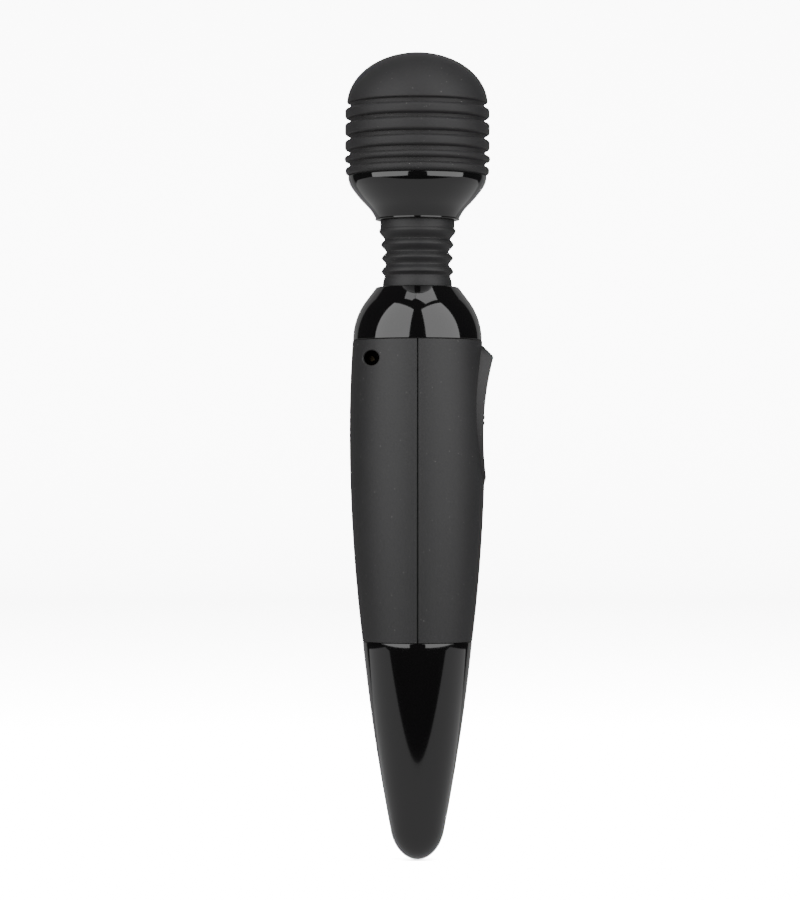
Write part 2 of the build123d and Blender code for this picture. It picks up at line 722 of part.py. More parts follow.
def motor_bracket():
    """A can round the motor: its foot clamps the spring anchor, its flange screws to the cup's posts."""
    bore = motor_radius + fit_gap
    outer = bore + 2.2
    foot = anchor_base() + 6.6
    bracket = tube(bore, outer, foot, motor_top)
    bracket += tube(11.0, outer, foot, motor_base - 0.1)
    bracket += tube(5.4, outer, motor_top + 0.1, motor_top + 2.1) + tube(bore, outer, motor_top - 1, motor_top + 0.2)
    ears = tube(bore, 21.0, motor_base, motor_base + 2.2)
    for x, y in bracket_screw_places():
        ears -= rod_z(1.3, motor_base - 1, motor_base + 3, x, y)
    bracket += ears
    for side in (-1, 1):
        bracket -= rod_z(1.6, motor_top - 1, motor_top + 3, side * 8.0)
    return bracket


def bracket_screws():
    high = motor_base + 2.2
    return Compound([Pos(x, y, 0) * pan_screw(1.0, 2.0, 1.7, high - 8.0, high) for x, y in bracket_screw_places()])


def motor_screws():
    high = motor_top + 2.1
    return Compound([Pos(side * 8.0, 0, 0) * pan_screw(1.5, 2.6, 1.6, high - 3.2, high) for side in (-1, 1)])


def motor_can():
    can = rod_z(motor_radius, motor_base + 3.0, motor_top) - rod_z(motor_radius - motor_wall, motor_base, motor_top - motor_wall)
    can += rod_z(5.0, motor_top - motor_wall, motor_top + 1.9)
    can -= rod_z(3.0, motor_base, motor_top + 3)
    for side in (-1, 1):
        can -= rod_z(1.5, motor_top - 2, motor_top + 2, side * 8.0)
    return can


def motor_end_cap():
    cap = rod_z(motor_radius, motor_base, motor_base + 2.9) + tube(9.5, motor_radius - motor_wall - 0.1, motor_base, motor_base + 6.0)
    cap -= rod_z(3.0, motor_base - 1, motor_base + 7)
    for side in (-1, 1):
        cap -= block(lead_x - 1.4, lead_x + 1.4, side * 4.9 - 0.5, side * 4.9 + 0.5, motor_base - 1, motor_base + 4)
    return cap


def motor_terminals():
    """Brush arms: each terminal passes through the end cap to a brush on the commutator."""
    solids = []
    for side in (-1, 1):
        y = side * 4.9
        tab = block(lead_x - 1.3, lead_x + 1.3, y - 0.4, y + 0.4, motor_base - 2.2, motor_base + 7.0)
        solids.append(tab)
    return Compound(solids)


def motor_bushings():
    lower = tube(shaft_radius + 0.03, 3.0, motor_base + 0.3, motor_base + 2.9)
    upper = tube(shaft_radius + 0.03, 3.0, motor_top - 2.6, motor_top + 1.9)
    return Compound([lower, upper])


def motor_magnets():
    inner, outer = 9.3, motor_radius - motor_wall - 0.05
    ring = tube(inner, outer, motor_base + 7.5, motor_top - 2.5)
    front = ring & block(3.0, 40, -40, 40, tip_z, head_top)
    rear = ring & block(-40, -3.0, -40, 40, tip_z, head_top)
    return Compound([front, rear])


def armature():
    core = rod_z(armature_radius, motor_base + 10.0, motor_top - 5.0)
    for turn in (0, 120, 240):
        core -= Rot(0, 0, turn) * block(4.5, 12, -1.1, 1.1, tip_z, head_top)
    return core - rod_z(shaft_radius, tip_z, head_top)


def commutator():
    return tube(shaft_radius, 3.4, motor_base + 4.2, motor_base + 9.6)


def motor_shaft():
    return rod_z(shaft_radius, motor_base + 0.4, motor_top + 12.4)


def weight_base():
    return motor_top + 5.0


def eccentric_weight():
    low, high = weight_base(), weight_base() + weight_height
    half_disc = rod_z(weight_radius, low, high) & block(-0.5, 40, -40, 40, low, high)
    weight = half_disc + rod_z(3.4, low, high)
    weight -= rod_z(shaft_radius, low - 1, high + 1)
    return weight - rod_x(0.9, -5, 0, 0, (low + high) / 2)


def weight_screw():
    return rod_x(0.9, -3.4, -shaft_radius, 0, weight_base() + weight_height / 2)


def domed_section(side_radius, dome_inset, top_inset, low):
    """Half section of a closed plug: a straight side and a quarter ellipse over it."""
    centre = head_top - dome_height
    dome = ellipse_arc((0, centre), dome_width - dome_inset, dome_height - top_inset, 0, 90)
    outline = [dome, *line((0, head_top - top_inset), (0, low), (side_radius, low), (side_radius, centre))]
    if side_radius < dome_width - dome_inset - 0.001:
        outline += line((side_radius, centre), (dome_width - dome_inset, centre))
    return make_face(Wire(outline))


def head_cap():
    """Ribbed silicone sleeve with a domed end."""
    section = domed_section(groove_radius, 0, 0, cup_top + joint_line)
    for low, high, radius in cap_ribs:
        bottom = cup_top + max(low, joint_line)
        top = cup_top + high
        rib = Pos((20 + radius) / 2, (bottom + top) / 2) * Rectangle(radius - 20, top - bottom)
        corners = rib.vertices().filter_by_position(Axis.X, radius - 0.01, radius + 0.01)
        section += fillet(corners, rib_corner)
    section -= domed_section(cap_inner_radius, dome_width - cap_inner_radius, cap_thickness, cup_top)
    return revolve(Plane.XZ * section, Axis.Z)


def head_dome():
    """Hard inner dome that the silicone is stretched over."""
    side = cap_inner_radius - 0.05
    section = domed_section(side, dome_width - side, cap_thickness + 0.05, cup_top + 0.05)
    inner = side - dome_wall
    section -= domed_section(inner, dome_width - inner, cap_thickness + 0.05 + dome_wall, cup_top - 1)
    return revolve(Plane.XZ * section, Axis.Z)


front_shell, rear_shell = handle_shells()
lower_leads, neck_leads, upper_leads = motor_leads()
pieces = {
    "front_shell": front_shell,
    "rear_shell": rear_shell,
    "tail_cap": tail_cap(),
    "shoulder_collar": shoulder_collar(),
    "neck_base": neck_base(),
    "collar_screws": collar_screws(),
    "rocker": rocker(),
    "rocker_pin": rocker_pin(),
    "switch_plunger": switch_plunger(),
    "switch_body": switch_body(),
    "switch_contact": switch_contact(),
    "switch_terminals": switch_terminals(),
    "battery_cell_lower": battery_cell(lower_cell_base()),
    "battery_cell_upper": battery_cell(upper_cell_base()),
    "battery_sleeve": battery_sleeve(),
    "cell_contacts": cell_contacts(),
    "battery_lead": battery_lead(),
    "return_strip": return_strip(),
    "control_board": control_board(),
    "board_screws": board_screws(),
    **board_parts(),
    "charge_jack": charge_jack(),
    "jack_centre_pin": jack_centre_pin(),
    "jack_leads": jack_leads(),
    "motor_leads_handle": lower_leads,
    "motor_leads_neck": neck_leads,
    "motor_leads_head": upper_leads,
    "neck_bellows": neck_bellows(),
    "neck_spring": neck_spring(),
    "lead_guide": lead_guide(),
    "head_anchor": head_anchor(),
    "head_cup": head_cup(),
    "motor_bracket": motor_bracket(),
    "bracket_screws": bracket_screws(),
    "motor_screws": motor_screws(),
    "motor_can": motor_can(),
    "motor_end_cap": motor_end_cap(),
    "motor_terminals": motor_terminals(),
    "motor_bushings": motor_bushings(),
    "motor_magnets": motor_magnets(),
    "armature": armature(),
    "commutator": commutator(),
    "motor_shaft": motor_shaft(),
    "eccentric_weight": eccentric_weight(),
    "weight_screw": weight_screw(),
    "head_dome": head_dome(),
    "head_cap": head_cap(),
}

os.makedirs("parts", exist_ok=True)
for name, solid in pieces.items():
    export_step(solid, f"parts/{name}.step")
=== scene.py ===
# Cordless wand massager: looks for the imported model. Metres, Z up the wand, X towards the rocker.
import json
from math import asin, atan2, cos, degrees, pi, radians, sin, sqrt

import bmesh
import bpy
from mathutils import Matrix, Quaternion, Vector


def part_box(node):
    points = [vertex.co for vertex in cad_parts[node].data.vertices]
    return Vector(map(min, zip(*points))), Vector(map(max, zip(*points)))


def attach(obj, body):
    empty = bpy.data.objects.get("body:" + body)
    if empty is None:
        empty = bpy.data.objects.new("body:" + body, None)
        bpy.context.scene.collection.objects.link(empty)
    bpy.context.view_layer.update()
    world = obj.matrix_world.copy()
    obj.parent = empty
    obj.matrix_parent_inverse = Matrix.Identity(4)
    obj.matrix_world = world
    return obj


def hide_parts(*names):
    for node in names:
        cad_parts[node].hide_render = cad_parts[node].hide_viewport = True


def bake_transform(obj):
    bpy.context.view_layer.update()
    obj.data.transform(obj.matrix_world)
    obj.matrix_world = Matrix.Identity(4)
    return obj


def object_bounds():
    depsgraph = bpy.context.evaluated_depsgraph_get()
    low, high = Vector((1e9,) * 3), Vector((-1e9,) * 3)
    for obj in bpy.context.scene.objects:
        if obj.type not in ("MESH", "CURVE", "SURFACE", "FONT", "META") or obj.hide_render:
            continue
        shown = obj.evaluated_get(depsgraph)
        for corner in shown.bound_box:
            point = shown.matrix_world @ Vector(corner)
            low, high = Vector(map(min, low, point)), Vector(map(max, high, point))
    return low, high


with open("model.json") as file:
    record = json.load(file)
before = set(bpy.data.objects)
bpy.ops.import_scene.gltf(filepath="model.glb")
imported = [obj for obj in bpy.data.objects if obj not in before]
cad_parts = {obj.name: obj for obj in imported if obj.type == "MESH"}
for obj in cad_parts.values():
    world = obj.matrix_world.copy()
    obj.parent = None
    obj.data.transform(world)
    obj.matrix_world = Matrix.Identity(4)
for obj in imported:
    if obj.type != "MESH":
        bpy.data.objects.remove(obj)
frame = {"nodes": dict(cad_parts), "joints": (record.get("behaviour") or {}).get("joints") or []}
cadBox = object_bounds()
mm = 0.001
scene = bpy.context.scene
neckPivot = next(j for j in frame["joints"] if j["name"] == "neck_bend_side")["pos_m"][2]
print("frame loaded:", len(frame["nodes"]), "nodes")


# camera, floor and light
cameraSetup = {
    "place": (-0.0068, -1.445, -0.0021),
    "aim": (-0.0068, 0.0, 0.0147),
    "lens": 148.0,
    "sensor": 36.0,
    "clipEnd": 50.0,
}


def placeCamera(setup):
    data = bpy.data.cameras.new("camera")
    data.lens = setup["lens"]
    data.sensor_width = setup["sensor"]
    data.clip_end = setup["clipEnd"]
    camera = bpy.data.objects.new("camera", data)
    camera.location = setup["place"]
    direction = Vector(setup["aim"]) - Vector(setup["place"])
    camera.rotation_euler = direction.to_track_quat("-Z", "Y").to_euler()
    scene.collection.objects.link(camera)
    scene.camera = camera


placeCamera(cameraSetup)


def link(name, mesh):
    piece = bpy.data.objects.new(name, mesh)
    scene.collection.objects.link(piece)
    return piece


floorSetup = {
    "halfWidth": 6.0,
    "front": 3.0,
    "back": 3.5,
    "sweepRadius": 1.2,
    "sweepSteps": 24,
    "wallHeight": 6.0,
    "gapBelowTip": 0.0004,
    "colour": (0.30, 0.30, 0.30, 1),
    "lift": 22.0,
    "roughness": 0.9,
    "specular": 0.1,
}


def buildFloor(setup):
    # a floor that curves up into a back wall
    level = cadBox[0][2] - setup["gapBelowTip"]
    bm = bmesh.new()
    bmesh.ops.create_grid(bm, x_segments=1, y_segments=1, size=1)
    for v in bm.verts:
        v.co = Vector((v.co.x * setup["halfWidth"], setup["back"] if v.co.y > 0 else -setup["front"], level))
    backEdge = [e for e in bm.edges if all(v.co.y > 0 for v in e.verts)]
    turned = bmesh.ops.spin(
        bm, geom=backEdge + list(backEdge[0].verts), angle=radians(90), steps=setup["sweepSteps"],
        axis=(1, 0, 0), cent=(0, setup["back"], level + setup["sweepRadius"]),
    )
    lastEdge = [g for g in turned["geom_last"] if isinstance(g, bmesh.types.BMEdge)]
    raised = bmesh.ops.extrude_edge_only(bm, edges=lastEdge)
    top = [g for g in raised["geom"] if isinstance(g, bmesh.types.BMVert)]
    bmesh.ops.translate(bm, verts=top, vec=(0, 0, setup["wallHeight"]))
    bmesh.ops.remove_doubles(bm, verts=bm.verts, dist=1e-5)
    bmesh.ops.recalc_face_normals(bm, faces=bm.faces)
    for face in bm.faces:
        face.smooth = True
    mesh = bpy.data.meshes.new("floor")
    bm.to_mesh(mesh)
    bm.free()
    floor = link("floor", mesh)

    paint = bpy.data.materials.new("pale_floor")
    paint.use_nodes = True
    nodes, links = paint.node_tree.nodes, paint.node_tree.links
    shader = nodes["Principled BSDF"]
    shader.inputs["Base Color"].default_value = setup["colour"]
    shader.inputs["Roughness"].default_value = setup["roughness"]
    shader.inputs["Specular IOR Level"].default_value = setup["specular"]
    # the camera sees a brighter paint than the light does, so the backdrop is white and the wand stays dark
    seen = nodes.new("ShaderNodeBsdfDiffuse")
    seen.inputs["Color"].default_value = (setup["lift"],) * 3 + (1,)
    path = nodes.new("ShaderNodeLightPath")
    pick = nodes.new("ShaderNodeMixShader")
    links.new(path.outputs["Is Camera Ray"], pick.inputs[0])
    links.new(shader.outputs[0], pick.inputs[1])
    links.new(seen.outputs[0], pick.inputs[2])
    links.new(pick.outputs[0], nodes["Material Output"].inputs["Surface"])
    floor.visible_glossy = False
    mesh.materials.append(paint)


buildFloor(floorSetup)

worldSetup = {"colour": (1.0, 1.0, 1.0, 1), "strength": 0.54, "reflected": 0.03}


def buildWorld(setup):
    world = bpy.data.worlds.new("studio")
    scene.world = world
    world.use_nodes = True
    tree = world.node_tree
    background = tree.nodes["Background"]
    background.inputs["Color"].default_value = setup["colour"]
    path = tree.nodes.new("ShaderNodeLightPath")
    strength = tree.nodes.new("ShaderNodeMapRange")
    strength.inputs["To Min"].default_value = setup["strength"]
    strength.inputs["To Max"].default_value = setup["reflected"]
    tree.links.new(path.outputs["Is Glossy Ray"], strength.inputs["Value"])
    tree.links.new(strength.outputs[0], background.inputs["Strength"])


buildWorld(worldSetup)

# azimuth is measured from the camera's side, positive to the right; lean tips the tops together
softboxes = {
    "left": {
        "azimuth": -45.5, "lean": -5, "distance": 0.74, "height": 0.56, "width": 0.95, "tall": 1.48, "power": 11.8,
    },
    "right": {
        "azimuth": 45.5, "lean": 5, "distance": 0.74, "height": 0.56, "width": 0.95, "tall": 1.48, "power": 11.8,
    },
    "roofRight": {"azimuth": 52, "distance": 0.32, "height": 1.15, "width": 0.50, "tall": 0.40, "power": 1.45},
    "roofLeft": {"azimuth": -42, "distance": 0.26, "height": 1.15, "width": 0.26, "tall": 0.24, "power": 0.40},
}


def placeSoftboxes(setup):
    for name, box in setup.items():
        data = bpy.data.lights.new(f"softbox_{name}", "AREA")
        data.shape = "RECTANGLE"
        data.size, data.size_y = box["width"], box["tall"]
        data.energy = box["power"]
        lamp = bpy.data.objects.new(f"softbox_{name}", data)
        azimuth = radians(box["azimuth"])
        away = Vector((sin(azimuth), -cos(azimuth), 0))
        lamp.location = away * box["distance"] + Vector((0, 0, box["height"]))
        if name.startswith("roof"):
            lamp.rotation_euler = (0, 0, azimuth)
        else:
            lean = Quaternion((0, 0, 1), radians(box["lean"]))
            lamp.rotation_euler = (away.to_track_quat("Z", "Y") @ lean).to_euler()
        lamp.visible_camera = False
        scene.collection.objects.link(lamp)


placeSoftboxes(softboxes)

# cards that only polished surfaces see: a dark room behind the camera and a lit table below the wand
cards = {
    "darkRoom": {"turn": 90, "place": (0, -1.7, 0.2), "size": (1.9, 1.6), "glow": 0.022},
    "backWall": {"turn": 90, "place": (0, 1.1, 0.3), "size": (1.1, 0.9), "glow": 0.30},
    "litTable": {"turn": 0, "place": (0, 0.257, -0.297), "size": (1.5, 0.737), "glow": 0.62},
}


def hangCards(setup):
    for name, card in setup.items():
        bm = bmesh.new()
        bmesh.ops.create_grid(bm, x_segments=1, y_segments=1, size=1)
        bmesh.ops.scale(bm, vec=(*card["size"], 1), verts=bm.verts)
        bmesh.ops.rotate(bm, cent=(0, 0, 0), matrix=Matrix.Rotation(radians(card["turn"]), 3, "X"), verts=bm.verts)
        bmesh.ops.translate(bm, vec=card["place"], verts=bm.verts)
        mesh = bpy.data.meshes.new(f"card_{name}")
        bm.to_mesh(mesh)
        bm.free()
        piece = link(f"card_{name}", mesh)
        paper = bpy.data.materials.new(f"card_{name}")
        paper.use_nodes = True
        shader = paper.node_tree.nodes["Principled BSDF"]
        shader.inputs["Base Color"].default_value = (0, 0, 0, 1)
        shader.inputs["Specular IOR Level"].default_value = 0.0
        shader.inputs["Emission Color"].default_value = (1, 1, 1, 1)
        shader.inputs["Emission Strength"].default_value = card["glow"]
        mesh.materials.append(paper)
        piece.visible_camera = piece.visible_diffuse = piece.visible_shadow = False
        piece.visible_transmission = False


hangCards(cards)
print("stage set:", len(softboxes), "softboxes,", len(cards), "cards")


# shader groups that the finishes share
def newGroup(name, inputs, outputs):
    group = bpy.data.node_groups.new(name, "ShaderNodeTree")
    for label, kind, value in inputs:
        socket = group.interface.new_socket(label, in_out="INPUT", socket_type=kind)
        if value is not None:
            socket.default_value = value
    for label, kind in outputs:
        group.interface.new_socket(label, in_out="OUTPUT", socket_type=kind)
    return group, group.nodes.new("NodeGroupInput"), group.nodes.new("NodeGroupOutput")


def mathNode(tree, operation, first, second=None, clamp=False):
    node = tree.nodes.new("ShaderNodeMath")
    node.operation = operation
    node.use_clamp = clamp
    for i, value in enumerate((first, second)):
        if value is None:
            continue
        if isinstance(value, (int, float)):
            node.inputs[i].default_value = value
        else:
            tree.links.new(value, node.inputs[i])
    return node.outputs[0]


def noiseNode(tree, vector, scale, detail, roughness=0.55):
    node = tree.nodes.new("ShaderNodeTexNoise")
    tree.links.new(vector, node.inputs["Vector"])
    if isinstance(scale, (int, float)):
        node.inputs["Scale"].default_value = scale
    else:
        tree.links.new(scale, node.inputs["Scale"])
    node.inputs["Detail"].default_value = detail
    node.inputs["Roughness"].default_value = roughness
    return node.outputs["Fac"]


def buildGrain():
    # moulded or cast skin: fine height, slow mottling and a roughness that follows it
    group, given, result = newGroup(
        "mouldedGrain",
        [
            ("Vector", "NodeSocketVector", None),
            ("Grain Scale", "NodeSocketFloat", 3000.0),
            ("Mottle Scale", "NodeSocketFloat", 90.0),
            ("Roughness", "NodeSocketFloat", 0.5),
            ("Roughness Spread", "NodeSocketFloat", 0.1),
        ],
        [("Height", "NodeSocketFloat"), ("Mottle", "NodeSocketFloat"), ("Roughness", "NodeSocketFloat")],
    )
    fine = noiseNode(group, given.outputs["Vector"], given.outputs["Grain Scale"], 2)
    slow = noiseNode(group, given.outputs["Vector"], given.outputs["Mottle Scale"], 4)
    centred = mathNode(group, "SUBTRACT", slow, 0.5)
    spread = mathNode(group, "MULTIPLY", centred, given.outputs["Roughness Spread"])
    roughness = mathNode(group, "ADD", given.outputs["Roughness"], spread, clamp=True)
    group.links.new(fine, result.inputs["Height"])
    group.links.new(slow, result.inputs["Mottle"])
    group.links.new(roughness, result.inputs["Roughness"])
    return group


def buildDust():
    # a few fine specks that cling to matt surfaces
    group, given, result = newGroup(
        "clingingDust",
        [
            ("Vector", "NodeSocketVector", None),
            ("Scale", "NodeSocketFloat", 500.0),
            ("Share", "NodeSocketFloat", 0.1),
            ("Size", "NodeSocketFloat", 0.12),
        ],
        [("Mask", "NodeSocketFloat")],
    )
    cells = group.nodes.new("ShaderNodeTexVoronoi")
    group.links.new(given.outputs["Vector"], cells.inputs["Vector"])
    group.links.new(given.outputs["Scale"], cells.inputs["Scale"])
    split = group.nodes.new("ShaderNodeSeparateColor")
    group.links.new(cells.outputs["Color"], split.inputs[0])
    chosen = mathNode(group, "LESS_THAN", split.outputs[0], given.outputs["Share"])
    sizeSpread = mathNode(group, "ADD", split.outputs[1], 0.35)
    size = mathNode(group, "MULTIPLY", given.outputs["Size"], sizeSpread)
    near = mathNode(group, "LESS_THAN", cells.outputs["Distance"], size)
    bright = mathNode(group, "ADD", mathNode(group, "MULTIPLY", split.outputs[2], 0.6), 0.3)
    mask = mathNode(group, "MULTIPLY", mathNode(group, "MULTIPLY", chosen, near), bright)
    group.links.new(mask, result.inputs["Mask"])
    return group


def buildLines():
    # drawn or turned metal: fine lines round the Z axis, or along it when Stretch is below one
    group, given, result = newGroup(
        "toolLines",
        [
            ("Vector", "NodeSocketVector", None),
            ("Scale", "NodeSocketFloat", 900.0),
            ("Stretch", "NodeSocketFloat", 14.0),
            ("Roughness", "NodeSocketFloat", 0.3),
            ("Roughness Spread", "NodeSocketFloat", 0.15),
        ],
        [("Height", "NodeSocketFloat"), ("Roughness", "NodeSocketFloat")],
    )
    parts = group.nodes.new("ShaderNodeSeparateXYZ")
    group.links.new(given.outputs["Vector"], parts.inputs[0])
    join = group.nodes.new("ShaderNodeCombineXYZ")
    group.links.new(parts.outputs[0], join.inputs[0])
    group.links.new(parts.outputs[1], join.inputs[1])
    group.links.new(mathNode(group, "MULTIPLY", parts.outputs[2], given.outputs["Stretch"]), join.inputs[2])
    lines = noiseNode(group, join.outputs[0], given.outputs["Scale"], 3)
    centred = mathNode(group, "SUBTRACT", lines, 0.5)
    spread = mathNode(group, "MULTIPLY", centred, given.outputs["Roughness Spread"])
    roughness = mathNode(group, "ADD", given.outputs["Roughness"], spread, clamp=True)
    group.links.new(lines, result.inputs["Height"])
    group.links.new(roughness, result.inputs["Roughness"])
    return group


grainGroup, dustGroup, linesGroup = buildGrain(), buildDust(), buildLines()


# finishes, one for each material slot
def placeGroup(tree, group, vector, values):
    node = tree.nodes.new("ShaderNodeGroup")
    node.node_tree = group
    tree.links.new(vector, node.inputs["Vector"])
    for label, value in values.items():
        node.inputs[label].default_value = value
    return node


def mixColours(tree, factor, first, second):
    node = tree.nodes.new("ShaderNodeMix")
    node.data_type = "RGBA"
    colourInputs = [s for s in node.inputs if s.type == "RGBA"]
    tree.links.new(factor, node.inputs[0])
    for socket, value in zip(colourInputs, (first, second)):
        if isinstance(value, tuple):
            socket.default_value = value
        else:
            tree.links.new(value, socket)
    return next(s for s in node.outputs if s.type == "RGBA")


def shade(colour, factor):
    return tuple(min(1.0, c * factor) for c in colour[:3]) + (1.0,)


def startMaterial(name, settings):
    material = bpy.data.materials.new(name)
    material.use_nodes = True
    tree = material.node_tree
    shader = tree.nodes["Principled BSDF"]
    for label, value in settings.items():
        shader.inputs[label].default_value = value
    vector = tree.nodes.new("ShaderNodeTexCoord").outputs["Object"]
    return material, tree, shader, vector


def addBump(tree, shader, height, strength, distance):
    bump = tree.nodes.new("ShaderNodeBump")
    bump.inputs["Strength"].default_value = strength
    bump.inputs["Distance"].default_value = distance
    tree.links.new(height, bump.inputs["Height"])
    tree.links.new(bump.outputs[0], shader.inputs["Normal"])


def mouldedFinish(name, colour, roughness, spread=0.08, grain=3000.0, mottle=90.0, variation=0.12,
                  bump=0.25, depth=0.00005, dust=None, **settings):
    material, tree, shader, vector = startMaterial(name, settings)
    skin = placeGroup(tree, grainGroup, vector, {
        "Grain Scale": grain, "Mottle Scale": mottle, "Roughness": roughness, "Roughness Spread": spread,
    })
    tint = mixColours(tree, skin.outputs["Mottle"], shade(colour, 1 - variation), shade(colour, 1 + variation))
    if dust:
        specks = placeGroup(tree, dustGroup, vector, {
            "Scale": dust["scale"], "Share": dust["share"], "Size": dust["size"],
        })
        tint = mixColours(tree, specks.outputs["Mask"], tint, dust["colour"])
    tree.links.new(tint, shader.inputs["Base Color"])
    tree.links.new(skin.outputs["Roughness"], shader.inputs["Roughness"])
    if bump:
        addBump(tree, shader, skin.outputs["Height"], bump, depth)
    return material


def metalFinish(name, colour, roughness, spread=0.15, scale=900.0, stretch=14.0, tarnish=0.1, bump=0.15,
                depth=0.00003, **settings):
    settings.setdefault("Metallic", 1.0)
    material, tree, shader, vector = startMaterial(name, settings)
    lines = placeGroup(tree, linesGroup, vector, {
        "Scale": scale, "Stretch": stretch, "Roughness": roughness, "Roughness Spread": spread,
    })
    skin = placeGroup(tree, grainGroup, vector, {"Mottle Scale": 160.0})
    tint = mixColours(tree, skin.outputs["Mottle"], shade(colour, 1 - tarnish), shade(colour, 1 + tarnish))
    tree.links.new(tint, shader.inputs["Base Color"])
    tree.links.new(lines.outputs["Roughness"], shader.inputs["Roughness"])
    addBump(tree, shader, lines.outputs["Height"], bump, depth)
    return material


dustLook = {"scale": 900.0, "share": 0.16, "size": 0.10, "colour": (0.20, 0.195, 0.19, 1)}
finishes = {
    "soft_touch_shell": mouldedFinish(
        "soft_touch_shell", (0.0150, 0.0146, 0.0154), 0.55, spread=0.10, grain=5200, mottle=60, variation=0.10,
        bump=0.22, depth=0.00004, dust=dustLook, **{"Specular IOR Level": 0.45},
    ),
    "gloss_black": mouldedFinish(
        "gloss_black", (0.0030, 0.0028, 0.0030), 0.07, spread=0.05, grain=1400, mottle=35, variation=0.15,
        bump=0.03, depth=0.00002, **{"Coat Weight": 0.5, "Coat Roughness": 0.03},
    ),
    "silicone": mouldedFinish(
        "silicone", (0.0128, 0.0124, 0.0132), 0.60, spread=0.10, grain=4200, mottle=110, variation=0.12,
        bump=0.30, depth=0.00005, dust=dict(dustLook, share=0.30),
        **{"Specular IOR Level": 0.4, "Sheen Weight": 0.05, "Sheen Roughness": 0.4},
    ),
    "neck_rubber": mouldedFinish(
        "neck_rubber", (0.015, 0.0148, 0.0155), 0.55, spread=0.10, grain=3800, mottle=140, variation=0.14,
        bump=0.30, depth=0.00005, dust=dict(dustLook, share=0.12), **{"Specular IOR Level": 0.4},
    ),
    "rocker_plastic": mouldedFinish(
        "rocker_plastic", (0.020, 0.0195, 0.0205), 0.50, spread=0.08, grain=5200, mottle=80, variation=0.08,
        bump=0.20, depth=0.00004, dust=dict(dustLook, share=0.10), **{"Specular IOR Level": 0.45},
    ),
    "frame_plastic": mouldedFinish("frame_plastic", (0.030, 0.031, 0.034), 0.42, grain=2600, mottle=120),
    "plug_nylon": mouldedFinish("plug_nylon", (0.62, 0.60, 0.52), 0.45, grain=2400, mottle=150, variation=0.05),
    "lead_insulation": mouldedFinish("lead_insulation", (0.42, 0.03, 0.025), 0.38, grain=1800, mottle=220),
    "cell_wrap": mouldedFinish("cell_wrap", (0.03, 0.16, 0.10), 0.30, grain=900, mottle=60, bump=0.12),
    "board": mouldedFinish("board", (0.012, 0.085, 0.035), 0.35, grain=2000, mottle=400, variation=0.25),
    "chip": mouldedFinish("chip", (0.018, 0.018, 0.020), 0.48, grain=4200, mottle=300),
    "capacitor_can": metalFinish("capacitor_can", (0.62, 0.63, 0.65), 0.28, stretch=2.0),
    "ferrite": mouldedFinish("ferrite", (0.040, 0.039, 0.042), 0.62, grain=3000, mottle=260, variation=0.2, bump=0.4),
    "copper_windings": metalFinish("copper_windings", (0.78, 0.32, 0.14), 0.30, scale=1500, stretch=6.0, bump=0.5),
    "spring_steel": metalFinish("spring_steel", (0.42, 0.42, 0.44), 0.30, scale=1200, stretch=0.3),
    "screw_steel": metalFinish("screw_steel", (0.52, 0.52, 0.53), 0.28, scale=1600, stretch=5.0),
    "motor_steel": metalFinish("motor_steel", (0.58, 0.59, 0.61), 0.30, scale=800, stretch=0.2),
    "shaft_steel": metalFinish("shaft_steel", (0.66, 0.66, 0.68), 0.16, scale=1500, stretch=18.0),
    "weight_metal": metalFinish("weight_metal", (0.36, 0.35, 0.34), 0.42, scale=900, stretch=9.0, tarnish=0.2),
    # brass darkened far below its own colour: painted shade for the pin that sits deep in the charging socket
    "brass": metalFinish("brass", (0.10, 0.08, 0.05), 0.45, scale=1300, stretch=8.0),
    "bronze": metalFinish("bronze", (0.55, 0.36, 0.18), 0.48, scale=1800, stretch=1.0, tarnish=0.2),
    "nickel": metalFinish("nickel", (0.68, 0.66, 0.61), 0.22, scale=1300, stretch=3.0),
}
print("finishes made:", len(finishes))

for node in frame["nodes"].values():
    for materialSlot in node.material_slots:
        slotName = materialSlot.material.name.split(".")[0]
        materialSlot.material = finishes.get(slotName, finishes["frame_plastic"])


# outlines and turning for the round pieces
def arcThrough(a, b, c, count):
    # points on the circle through three (radius, height) points, from a to c
    (ax, ay), (bx, by), (cx, cy) = a, b, c
    d = 2 * (ax * (by - cy) + bx * (cy - ay) + cx * (ay - by))
    ux = ((ax**2 + ay**2) * (by - cy) + (bx**2 + by**2) * (cy - ay) + (cx**2 + cy**2) * (ay - by)) / d
    uy = ((ax**2 + ay**2) * (cx - bx) + (bx**2 + by**2) * (ax - cx) + (cx**2 + cy**2) * (bx - ax)) / d
    start, middle, end = (atan2(y - uy, x - ux) for x, y in (a, b, c))
    sweep = (end - start + pi) % (2 * pi) - pi
    part = (middle - start + pi) % (2 * pi) - pi
    if sweep * part < 0:
        sweep -= 2 * pi if sweep > 0 else -2 * pi
    radius = sqrt((ax - ux) ** 2 + (ay - uy) ** 2)
    return [
        (ux + radius * cos(start + sweep * i / count), uy + radius * sin(start + sweep * i / count))
        for i in range(count + 1)
    ]


def tangentArc(start, direction, end, count):
    # an arc that leaves start along direction and ends at end; start itself is left out
    start, end = Vector(start), Vector(end)
    chord = end - start
    normal = Vector((direction.y, -direction.x)).normalized()
    radius = chord.length_squared / (2 * chord.dot(normal))
    centre = start + normal * radius
    first, last = (atan2(p.y - centre.y, p.x - centre.x) for p in (start, end))
    sweep = (last - first + pi) % (2 * pi) - pi
    angles = [first + sweep * i / count for i in range(1, count + 1)]
    return [(centre.x + abs(radius) * cos(a), centre.y + abs(radius) * sin(a)) for a in angles]


